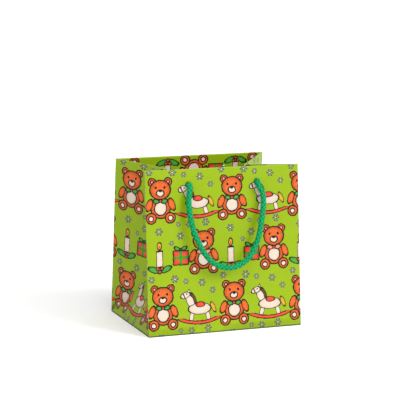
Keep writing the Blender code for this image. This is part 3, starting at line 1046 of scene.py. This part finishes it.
def build_foot(word, end, first_u):
    """The triangle at the foot of a gusset, between the base and the two diagonal folds."""
    tip = crease(end, 0)
    left, right = corner(end, -1, 0), corner(end, 1, 0)
    slant = hypot(FOOT_INSET, FOOT_RISE)

    def place(across, rise):
        low = left.lerp(right, across)
        low.x -= end * FOOT_CLEARANCE
        low.y *= 1 - FLAP_CLEARANCE / BASE_HALF
        spot = low.lerp(tip, rise)
        if rise == 0:
            spot.z = FOOT_CLEARANCE
        return spot

    def flat(across, rise):
        middle_u = first_u + BASE_HALF
        return (middle_u + end * (across - 0.5) * 2 * BASE_HALF * (1 - rise), rise * slant)

    def fold(across, rise):
        return WORN["diagonal"] if across in (0, 1) or rise == 1 else 0

    columns = [0, 0.015] + spread(0.06, 0.94, 10) + [0.985, 1]
    rows = [0, 0.01, CONTACT_SHADE_HEIGHT / FOOT_RISE] + spread(0.08, 1, 10)
    sheet = lay_sheet(f"{word}_foot_paper", columns, rows, place, flat, fold, (end, 0, 0.3))
    settle(sheet, "bag", "printed_paper", f"{word}_gusset_foot")


def turned_edge(radius, depth):
    """Rows of a turned-in edge: ("over", turn) round the top, then ("down", length) on the inside."""
    rows = [("over", pi * i / 8) for i in range(9)]
    rows += [("down", length) for length in spread(0.6 * MM, depth - pi * radius, 6)]
    return rows


def turned_place(start, up, inward, radius, row):
    """A spot on a turned-in edge that begins at start and folds over towards inward."""
    kind, amount = row
    if kind == "over":
        return start + inward * radius * (1 - cos(amount)) + up * radius * sin(amount)
    return start + inward * 2 * radius - up * amount


def turned_rise(top, radius, row):
    """How far up the flat sheet a row of a turned-in edge lies."""
    kind, amount = row
    return top + radius * amount if kind == "over" else top + pi * radius + amount


def turned_wear(across, row):
    """The print wears off along the very top of a turned-in edge."""
    return WORN["hem"] * sin(row[1]) if row[0] == "over" else 0


def build_hems(paper):
    """The top edge, turned in over the card strips; its print runs on over the fold."""
    for word, side in (("front", -1), ("back", 1)):
        build_wall_hem(paper, word, side)
    for word, end, first_u in (("left", -1, U_LEFT), ("right", 1, U_RIGHT)):
        for half, side in (("front", -1), ("back", 1)):
            build_gusset_hem(paper, word, end, first_u, half, side)


def build_wall_hem(paper, word, side):
    """A wall's hem, which narrows as it turns in, to leave room for the gussets' hems."""
    wall = Wall(side, paper)
    radius = WALL_HEM_RADIUS
    top = SLOPE - radius
    rows = turned_edge(radius, HEM_DEPTH + radius)
    inner_half = HEM_HIGH[0]
    outer_half = HALF_WIDTH - 0.2 * MM

    def reach(row):
        kind, amount = row
        share = max(amount / (pi / 2) - 1, 0) if kind == "over" else 1
        return outer_half + (inner_half - outer_half) * share

    def place(across, row):
        x = across * reach(row)
        return turned_place(wall.face(x, top), wall.up, -wall.out, radius, row)

    def flat(across, row):
        return wall.flat(across * reach(row), turned_rise(top, radius, row))

    inside = -wall.out * 2 * radius
    holes = [(wall.face(x, HOLE_RISE) + inside, wall.out) for x in (-HOLE_X, HOLE_X)]
    columns = spread(-1, 1, 28)
    sheet = lay_sheet(f"{word}_hem_paper", columns, rows, place, flat, turned_wear, -wall.out, holes)
    settle(sheet, "bag", "printed_paper", f"{word}_hem")


def build_gusset_hem(paper, word, end, first_u, half, side):
    """The hem of a gusset's half, whose turned-in part follows the gusset's own slope."""
    radius = GUSSET_HEM_RADIUS
    top = SLOPE - radius
    rows = turned_edge(radius, HEM_DEPTH + radius)

    def place(across, row):
        kind, amount = row
        length = SLOPE * (1 - across) + (SLOPE - BASE_HALF) * across
        drop = (radius + amount if kind == "down" else radius) / length
        spot = half_point(paper, end, side, ("in", across), 1 - drop)
        near = half_point(paper, end, side, ("in", across), 1 - drop - 0.01)
        up = (spot - near).normalized()
        along = (crease(end, 1 - drop) - corner(end, side, 1 - drop)).normalized()
        inward = up.cross(along) * (end * side)
        if inward.dot(Vector((-end, side * 0.5, 0))) < 0:
            inward = -inward
        inward.normalize()
        return turned_place(spot, up, inward, radius, row if kind == "over" else ("down", 0))

    def flat(across, row):
        return (gusset_u(first_u, end, side, across), turned_rise(top, radius, row))

    outside = (-end, side * 0.5, 0)
    # The hem stops just short of the corner edge and of the crease
    columns = spread(0.035, 0.985, 12)
    sheet = lay_sheet(f"{word}_hem_{half}_paper", columns, rows, place, flat, turned_wear, outside)
    settle(sheet, "bag", "printed_paper", f"{word}_hem_{half}")


def build_base(paper):
    """The two long bottom flaps; the back one is glued over the front one's edge."""
    front_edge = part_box("bottom_flap_front")[1][1]
    back_low, back_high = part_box("bottom_flap_back")
    start = BASE_HALF - paper.base_radius
    near_edge = [front_edge + away * MM for away in (3, 1.2, 0.3)]
    build_flap(paper, "front", -1, spread(start, -front_edge, 6), 0, 0)
    steps = [start, start * 0.6] + near_edge + [0.0, back_low[1]]
    build_flap(paper, "back", 1, steps, front_edge + 0.8 * MM, back_high[2] - PAPER)


def build_flap(paper, word, side, steps, climb, level):
    """A flap with rows at steps, its distances from the bag's middle; nearer than climb it lies at level."""
    wall = Wall(side, paper)
    start, stop = steps[0], steps[-1]

    def place(across, distance):
        share = (start - distance) / (start - stop)
        x = across * (HALF_WIDTH - FLAP_CLEARANCE - FLAP_TAPER * share)
        return Vector((x, side * distance, level if distance < climb else 0))

    def flat(across, distance):
        return wall.flat(across * HALF_WIDTH, distance - start)

    def fold(across, distance):
        return WORN["flap"] if distance == start else 0

    sheet = lay_sheet(f"{word}_flap_paper", spread(-1, 1, 14), steps, place, flat, fold, (0, 0, -1))
    settle(sheet, "bag", "printed_paper", f"bottom_flap_{word}")


def dress_card():
    """The plain nodes that keep the frame's own shape: strips, board, side flaps and seam tab."""
    finishes = {
        "front_stiffener": "card",
        "back_stiffener": "card",
        "base_board": "card",
        "bottom_flap_left": "plain",
        "bottom_flap_right": "plain",
        "side_seam_tab": "plain",
    }
    for node, finish in finishes.items():
        obj = frame["nodes"][node]
        obj.data.materials.clear()
        obj.data.materials.append(finish_named(finish))


# ---------------------------------------------------------------- cords


def smooth_route(points, spacing):
    """Points at an even spacing on a smooth curve through the given ones, however uneven those are."""
    ends = [points[0] * 2 - points[1], points[-1] * 2 - points[-2]]
    padded = [ends[0]] + points + [ends[1]]
    fine = []
    for i in range(1, len(padded) - 2):
        before, start, stop, after = padded[i - 1 : i + 3]
        knots = [0.0]
        for a, b in ((before, start), (start, stop), (stop, after)):
            knots.append(knots[-1] + max((b - a).length, 1e-7) ** 0.5)
        for j in range(16):
            t = knots[1] + (knots[2] - knots[1]) * j / 16
            level = [before, start, stop, after]
            for depth in (1, 2, 3):
                shares = [blend_share(knots, k, depth, t) for k in range(len(level) - 1)]
                level = [a.lerp(b, share) for a, b, share in zip(level, level[1:], shares)]
            fine.append(level[0])
    fine.append(points[-1])
    return even_points(fine, spacing)


def blend_share(knots, k, depth, t):
    """The share of each step of the curve's pyramid, whose last step spans only the middle knots."""
    if depth == 3:
        return (t - knots[1]) / (knots[2] - knots[1])
    return (t - knots[k]) / (knots[k + depth] - knots[k])


def even_points(fine, spacing):
    lengths = [(b - a).length for a, b in zip(fine, fine[1:])]
    total = sum(lengths)
    count = max(round(total / spacing), 2)
    even = [fine[0]]
    walked = 0
    for a, b, length in zip(fine, fine[1:], lengths):
        while len(even) < count and walked + length >= total * len(even) / count:
            even.append(a.lerp(b, (total * len(even) / count - walked) / length))
        walked += length
    even.append(fine[-1])
    return even


def carried_frames(points):
    """At each point, the route's direction and two square to it that turn no more than they must."""
    frames = []
    side = None
    for i in range(len(points)):
        ahead = (points[min(i + 1, len(points) - 1)] - points[max(i - 1, 0)]).normalized()
        if side is None:
            side = ahead.orthogonal().normalized()
        side = (side - ahead * side.dot(ahead)).normalized()
        frames.append((ahead, side, ahead.cross(side)))
    return frames


def braid(name, points, cord, width, fray=0.0):
    """A round braid along evenly spaced points: strands that go round both ways, over and under.

    width(share) is the braid's thickness along it, as a share of the cord's. fray opens the far end.
    The strands lie round a core. Each point's rise is painted light and shade for the cord's material: darker
    in the gaps between strands and on the core, lighter on the crests where a strand crosses over.
    """
    radius = cord.diameter / 2
    each = cord.strands_each_way
    weave = 0.15 * radius
    thick = 0.30 * radius
    wide = 1.10 * 2 * pi * radius / (2 * each)
    middle = radius - weave - 0.9 * thick
    core = 0.60 * radius
    ring = 8
    frames = carried_frames(points)
    steps = np.array([0.0] + [(b - a).length for a, b in zip(points, points[1:])]).cumsum()
    verts, light_and_shade = [], []
    spot = np.array([tuple(p) for p in points])
    side = np.array([tuple(f[1]) for f in frames])
    up = np.array([tuple(f[2]) for f in frames])
    ahead = np.array([tuple(f[0]) for f in frames])
    share = steps / steps[-1]
    scale = np.array([width(s) for s in share])
    flare = 1 + fray * np.clip((share - 0.8) / 0.2, 0, 1) ** 2
    around = 2 * pi * steps / cord.braid_pitch
    for way in (-1, 1):
        for i in range(each):
            turn = 2 * pi * i / each + way * around
            over = way * np.cos(each * around)
            away = (middle + weave * over) * scale * flare
            radial = np.cos(turn)[:, None] * side + np.sin(turn)[:, None] * up
            tangent = -np.sin(turn)[:, None] * side + np.cos(turn)[:, None] * up
            centre = spot + radial * away[:, None]
            run = ahead + tangent * (way * away * 2 * pi / cord.braid_pitch)[:, None]
            run = run / np.linalg.norm(run, axis=1)[:, None]
            flatways = np.cross(radial, run)
            for k in range(ring):
                angle = 2 * pi * k / ring
                offset = flatways * (wide / 2 * cos(angle) * scale)[:, None]
                offset = offset + radial * (thick * sin(angle) * scale)[:, None]
                verts.append(centre + offset)
                # Painted light and shade: lighter on the outer crest of a strand that crosses over, darker on
                # its sides and under it
                crest_light = 0.45 + 0.45 * over * max(sin(angle), 0)
                light_and_shade.append(crest_light - 0.2 * abs(cos(angle)) + 0.2 * sin(angle))
    # The core is painted fully in shade
    for k in range(ring):
        angle = 2 * pi * k / ring
        offset = (cos(angle) * side + sin(angle) * up) * (core * scale)[:, None]
        verts.append(spot + offset)
        light_and_shade.append(0 * steps)
    return braid_mesh(name, verts, np.concatenate(light_and_shade), len(points), ring, steps, 2 * each + 1)


def braid_mesh(name, lines, light_and_shade, count, ring, steps, strands):
    """Skins the strands' lines of points into closed tubes with a map along and round each strand."""
    spots = np.concatenate(lines)
    mesh = bpy.data.meshes.new(name)
    faces = []
    maps = []
    for strand in range(strands):
        base = strand * ring * count
        for k in range(ring):
            here, there = base + k * count, base + (k + 1) % ring * count
            for j in range(count - 1):
                faces.append((here + j, there + j, there + j + 1, here + j + 1))
                low, high = (k / ring, (k + 1) / ring)
                a, b = steps[j], steps[j + 1]
                maps += [(a, strand + low), (a, strand + high), (b, strand + high), (b, strand + low)]
        for j, order in ((0, range(ring)), (count - 1, reversed(range(ring)))):
            faces.append(tuple(base + k * count + j for k in order))
            maps += [(steps[j], strand)] * ring
    mesh.from_pydata([tuple(p) for p in spots], [], faces)
    # Each point's painted light and shade, which the cord's material reads as rise
    light_and_shade_layer = mesh.attributes.new("rise", "FLOAT", "POINT")
    light_and_shade_layer.data.foreach_set("value", np.clip(light_and_shade, 0, 1).astype(np.float32))
    layer = mesh.uv_layers.new(name="strand")
    layer.data.foreach_set("uv", np.array(maps, np.float32).ravel())
    mesh.materials.append(finish_named("cord"))
    mesh.validate()
    obj = bpy.data.objects.new(name, mesh)
    bpy.context.scene.collection.objects.link(obj)
    make_active(obj)
    bpy.ops.object.mode_set(mode="EDIT")
    bpy.ops.mesh.select_all(action="SELECT")
    bpy.ops.mesh.normals_make_consistent(inside=False)
    bpy.ops.object.mode_set(mode="OBJECT")
    smooth(obj, 50)
    return obj


def pivot(side, x):
    """Where a cord turns down, outside its hole."""
    return Vector((x, side * abs(FRONT_PIVOT.y), FRONT_PIVOT.z))


def hang_down(side):
    """The way a loop hangs at rest, with its foot further out than its holes."""
    return Vector((0, side * sin(HANG_LEAN), -cos(HANG_LEAN)))


def handle_route(side):
    """The run of one cord from knot to knot: out of one hole, round the loop and into the other hole."""
    up, out = wall_axes(side)
    down = hang_down(side)
    start_out, start_down = LOOP_START
    middle = pivot(side, 0)
    loop = [middle + Vector((-side * x * MM, 0, 0)) + down * drop * MM for x, drop in LOOP_ROUTE]
    run = []
    for hole, order in ((loop[0], 1), (loop[-1], -1)):
        leg = [hole + out * away * MM - up * sunk * MM for away, sunk in HOLE_ROUTE]
        leg.append(hole + down * start_down * MM + out * start_out * MM)
        run.append(leg[::order])
    return run[0] + loop[1:-1] + run[1]


def build_cords(cord):
    for word, side in (("front", -1), ("back", 1)):
        points = smooth_route(handle_route(side), ROUTE_STEP)
        obj = braid(f"{word}_cord", points, cord, lambda share: 1.0)
        out = wall_axes(side)[1]
        start = pivot(side, 0) - out * BEND_INSIDE
        end = pivot(side, 0) + hang_down(side) * BEND_OUTSIDE
        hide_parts(f"{word}_handle")
        length = sum((b - a).length for a, b in zip(points, points[1:]))
        hole = pivot(side, side * HOLE_X) - out * STAND_OFF
        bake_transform(obj)


def knot_route(side, x):
    """A tight overhand knot behind the wall, and its tail."""
    up, out = wall_axes(side)
    across = Vector((1, 0, 0))
    pulled = pivot(side, x) - out * KNOT_BEHIND - Vector((0, 0, KNOT_BELOW))
    points = [pivot(side, x) - out * 5.0 * MM]
    for turn in spread(KNOT_GAP, 2 * pi - KNOT_GAP, 20):
        away = KNOT_RING + KNOT_WEAVE * cos(3 * turn)
        a, b = away * cos(2 * turn + pi / 2), away * sin(2 * turn + pi / 2)
        points.append(pulled + across * a + up * b - out * 1.5 * KNOT_WEAVE * sin(3 * turn))
    tail = points[-1]
    points += [tail - Vector((0, 0, drop * MM)) - out * away * MM for drop, away in TAIL_ROUTE]
    return points


def knot_width(share):
    """The braid's thickness along a knot: tight at first, and slack again in the tail."""
    tail_start, easing = 0.62, 0.15
    return TIGHT_SHARE + (SLACK_SHARE - TIGHT_SHARE) * min(max((share - tail_start) / easing, 0), 1)


def build_knots(cord):
    for word, side in (("front", -1), ("back", 1)):
        for where, x in (("left", -HOLE_X), ("right", HOLE_X)):
            points = smooth_route(knot_route(side, x), ROUTE_STEP)
            obj = braid(f"{word}_{where}_knot_braid", points, cord, knot_width, fray=0.35)
            settle(obj, "bag", "green_cord", f"{word}_knot_{where}")


# ---------------------------------------------------------------- stage

# How wide each light looks, in degrees, and the place that it shines from, in metres
LIGHTS = {
    "key": (28, (0.96, -1.02, 0.85)),
    "fill": (70, (-0.9, -1.0, 1.1)),
    "overhead": (60, (0.1, -0.9, 1.4)),
}


def build_camera(stage):
    azimuth, elevation = stage.azimuth, stage.elevation
    back = Vector((sin(azimuth) * cos(elevation), -cos(azimuth) * cos(elevation), sin(elevation)))
    level = Vector((cos(azimuth), sin(azimuth), 0))
    upright = back.cross(level)
    right = cos(stage.roll) * level + sin(stage.roll) * upright
    top = cos(stage.roll) * upright - sin(stage.roll) * level
    spot = Vector((0, 0, HEIGHT / 2)) + back * stage.distance + right * stage.aside + top * stage.above
    camera = bpy.data.cameras.new("camera")
    camera.lens = stage.lens
    camera.sensor_width = 36
    camera.clip_end = 50
    obj = bpy.data.objects.new("camera", camera)
    obj.matrix_world = Matrix.Translation(spot) @ Matrix((right, top, back)).transposed().to_4x4()
    bpy.context.scene.collection.objects.link(obj)
    bpy.context.scene.camera = obj


def add_light(name, strength, width, spot):
    """A distant light, aimed a little below the bag's middle."""
    aim = (0, 0, HEIGHT * 0.45)
    light = bpy.data.lights.new(name, "SUN")
    light.energy = strength
    light.angle = radians(width)
    obj = bpy.data.objects.new(name, light)
    obj.location = spot
    obj.rotation_euler = (Vector(aim) - Vector(spot)).to_track_quat("-Z", "Y").to_euler()
    bpy.context.scene.collection.objects.link(obj)


def build_stage(stage):
    deselect_all()
    bpy.ops.mesh.primitive_plane_add(size=24, location=(0, 6, -0.02 * MM))
    floor = bpy.context.active_object
    floor.name = "floor"
    bpy.ops.object.transform_apply(location=True, rotation=True, scale=True)
    floor.data.materials.append(stage_material())
    for name, (width, spot) in LIGHTS.items():
        add_light(f"{name} light", getattr(stage, name), width, spot)
    world = bpy.data.worlds.new("surround")
    world.use_nodes = True
    shader = world.node_tree.nodes["Background"]
    shader.inputs["Color"].default_value = (1, 1, 1, 1)
    shader.inputs["Strength"].default_value = stage.sky
    bpy.context.scene.world = world
    bpy.context.scene.view_settings.view_transform = "Standard"


# ---------------------------------------------------------------- operators


class GIFTBAG_OT_camera(bpy.types.Operator):
    """Place the camera"""

    bl_idname = "gift_bag.camera"
    bl_label = "Camera"

    def execute(self, context):
        build_camera(context.scene.gift_bag_stage)
        return {"FINISHED"}


class GIFTBAG_OT_cords(bpy.types.Operator):
    """Braid the two cord handles"""

    bl_idname = "gift_bag.cords"
    bl_label = "Cord handles"

    def execute(self, context):
        build_cords(context.scene.gift_bag_cord)
        return {"FINISHED"}


class GIFTBAG_OT_knots(bpy.types.Operator):
    """Tie the four knots behind the hem"""

    bl_idname = "gift_bag.knots"
    bl_label = "Knots"

    def execute(self, context):
        build_knots(context.scene.gift_bag_cord)
        return {"FINISHED"}


class GIFTBAG_OT_walls(bpy.types.Operator):
    """Fold the front and back panels"""

    bl_idname = "gift_bag.walls"
    bl_label = "Front and back"

    def execute(self, context):
        build_walls(context.scene.gift_bag_paper)
        return {"FINISHED"}


class GIFTBAG_OT_gussets(bpy.types.Operator):
    """Fold the side gussets and their feet"""

    bl_idname = "gift_bag.gussets"
    bl_label = "Side gussets"

    def execute(self, context):
        build_gussets(context.scene.gift_bag_paper)
        return {"FINISHED"}


class GIFTBAG_OT_hems(bpy.types.Operator):
    """Turn in the top edge"""

    bl_idname = "gift_bag.hems"
    bl_label = "Turned-in hem"

    def execute(self, context):
        build_hems(context.scene.gift_bag_paper)
        return {"FINISHED"}


class GIFTBAG_OT_base(bpy.types.Operator):
    """Fold the bottom flaps and finish the board and card strips"""

    bl_idname = "gift_bag.base"
    bl_label = "Base and card"

    def execute(self, context):
        build_base(context.scene.gift_bag_paper)
        dress_card()
        return {"FINISHED"}


class GIFTBAG_OT_stage(bpy.types.Operator):
    """Set the floor, the lights and the white surround"""

    bl_idname = "gift_bag.stage"
    bl_label = "Stage"

    def execute(self, context):
        build_stage(context.scene.gift_bag_stage)
        return {"FINISHED"}


class GIFTBAG_PT_panel(bpy.types.Panel):
    """Lists the bag's pieces in the order in which they are made"""

    bl_idname = "GIFTBAG_PT_panel"
    bl_label = "Gift Bag"
    bl_space_type = "VIEW_3D"
    bl_region_type = "UI"
    bl_category = "Gift Bag"

    def draw(self, context):
        for operator in OPERATORS:
            self.layout.operator(operator.bl_idname)
        for settings in ("gift_bag_paper", "gift_bag_cord", "gift_bag_stage"):
            group = getattr(context.scene, settings)
            for name in group.__annotations__:
                self.layout.prop(group, name)


SETTINGS = {"gift_bag_paper": GiftBagPaper, "gift_bag_cord": GiftBagCord, "gift_bag_stage": GiftBagStage}
OPERATORS = (
    GIFTBAG_OT_camera,
    GIFTBAG_OT_cords,
    GIFTBAG_OT_knots,
    GIFTBAG_OT_walls,
    GIFTBAG_OT_gussets,
    GIFTBAG_OT_hems,
    GIFTBAG_OT_base,
    GIFTBAG_OT_stage,
)


def register():
    for name, group in SETTINGS.items():
        bpy.utils.register_class(group)
        setattr(bpy.types.Scene, name, PointerProperty(type=group))
    for item in OPERATORS + (GIFTBAG_PT_panel,):
        bpy.utils.register_class(item)


def unregister():
    for item in reversed(OPERATORS + (GIFTBAG_PT_panel,)):
        bpy.utils.unregister_class(item)
    for name, group in SETTINGS.items():
        delattr(bpy.types.Scene, name)
        bpy.utils.unregister_class(group)


def main():
    register()
    bpy.ops.gift_bag.camera()
    bpy.ops.gift_bag.cords()
    bpy.ops.gift_bag.knots()
    bpy.ops.gift_bag.walls()
    bpy.ops.gift_bag.gussets()
    bpy.ops.gift_bag.hems()
    bpy.ops.gift_bag.base()
    bpy.ops.gift_bag.stage()


if __name__ == "__main__":
    main()
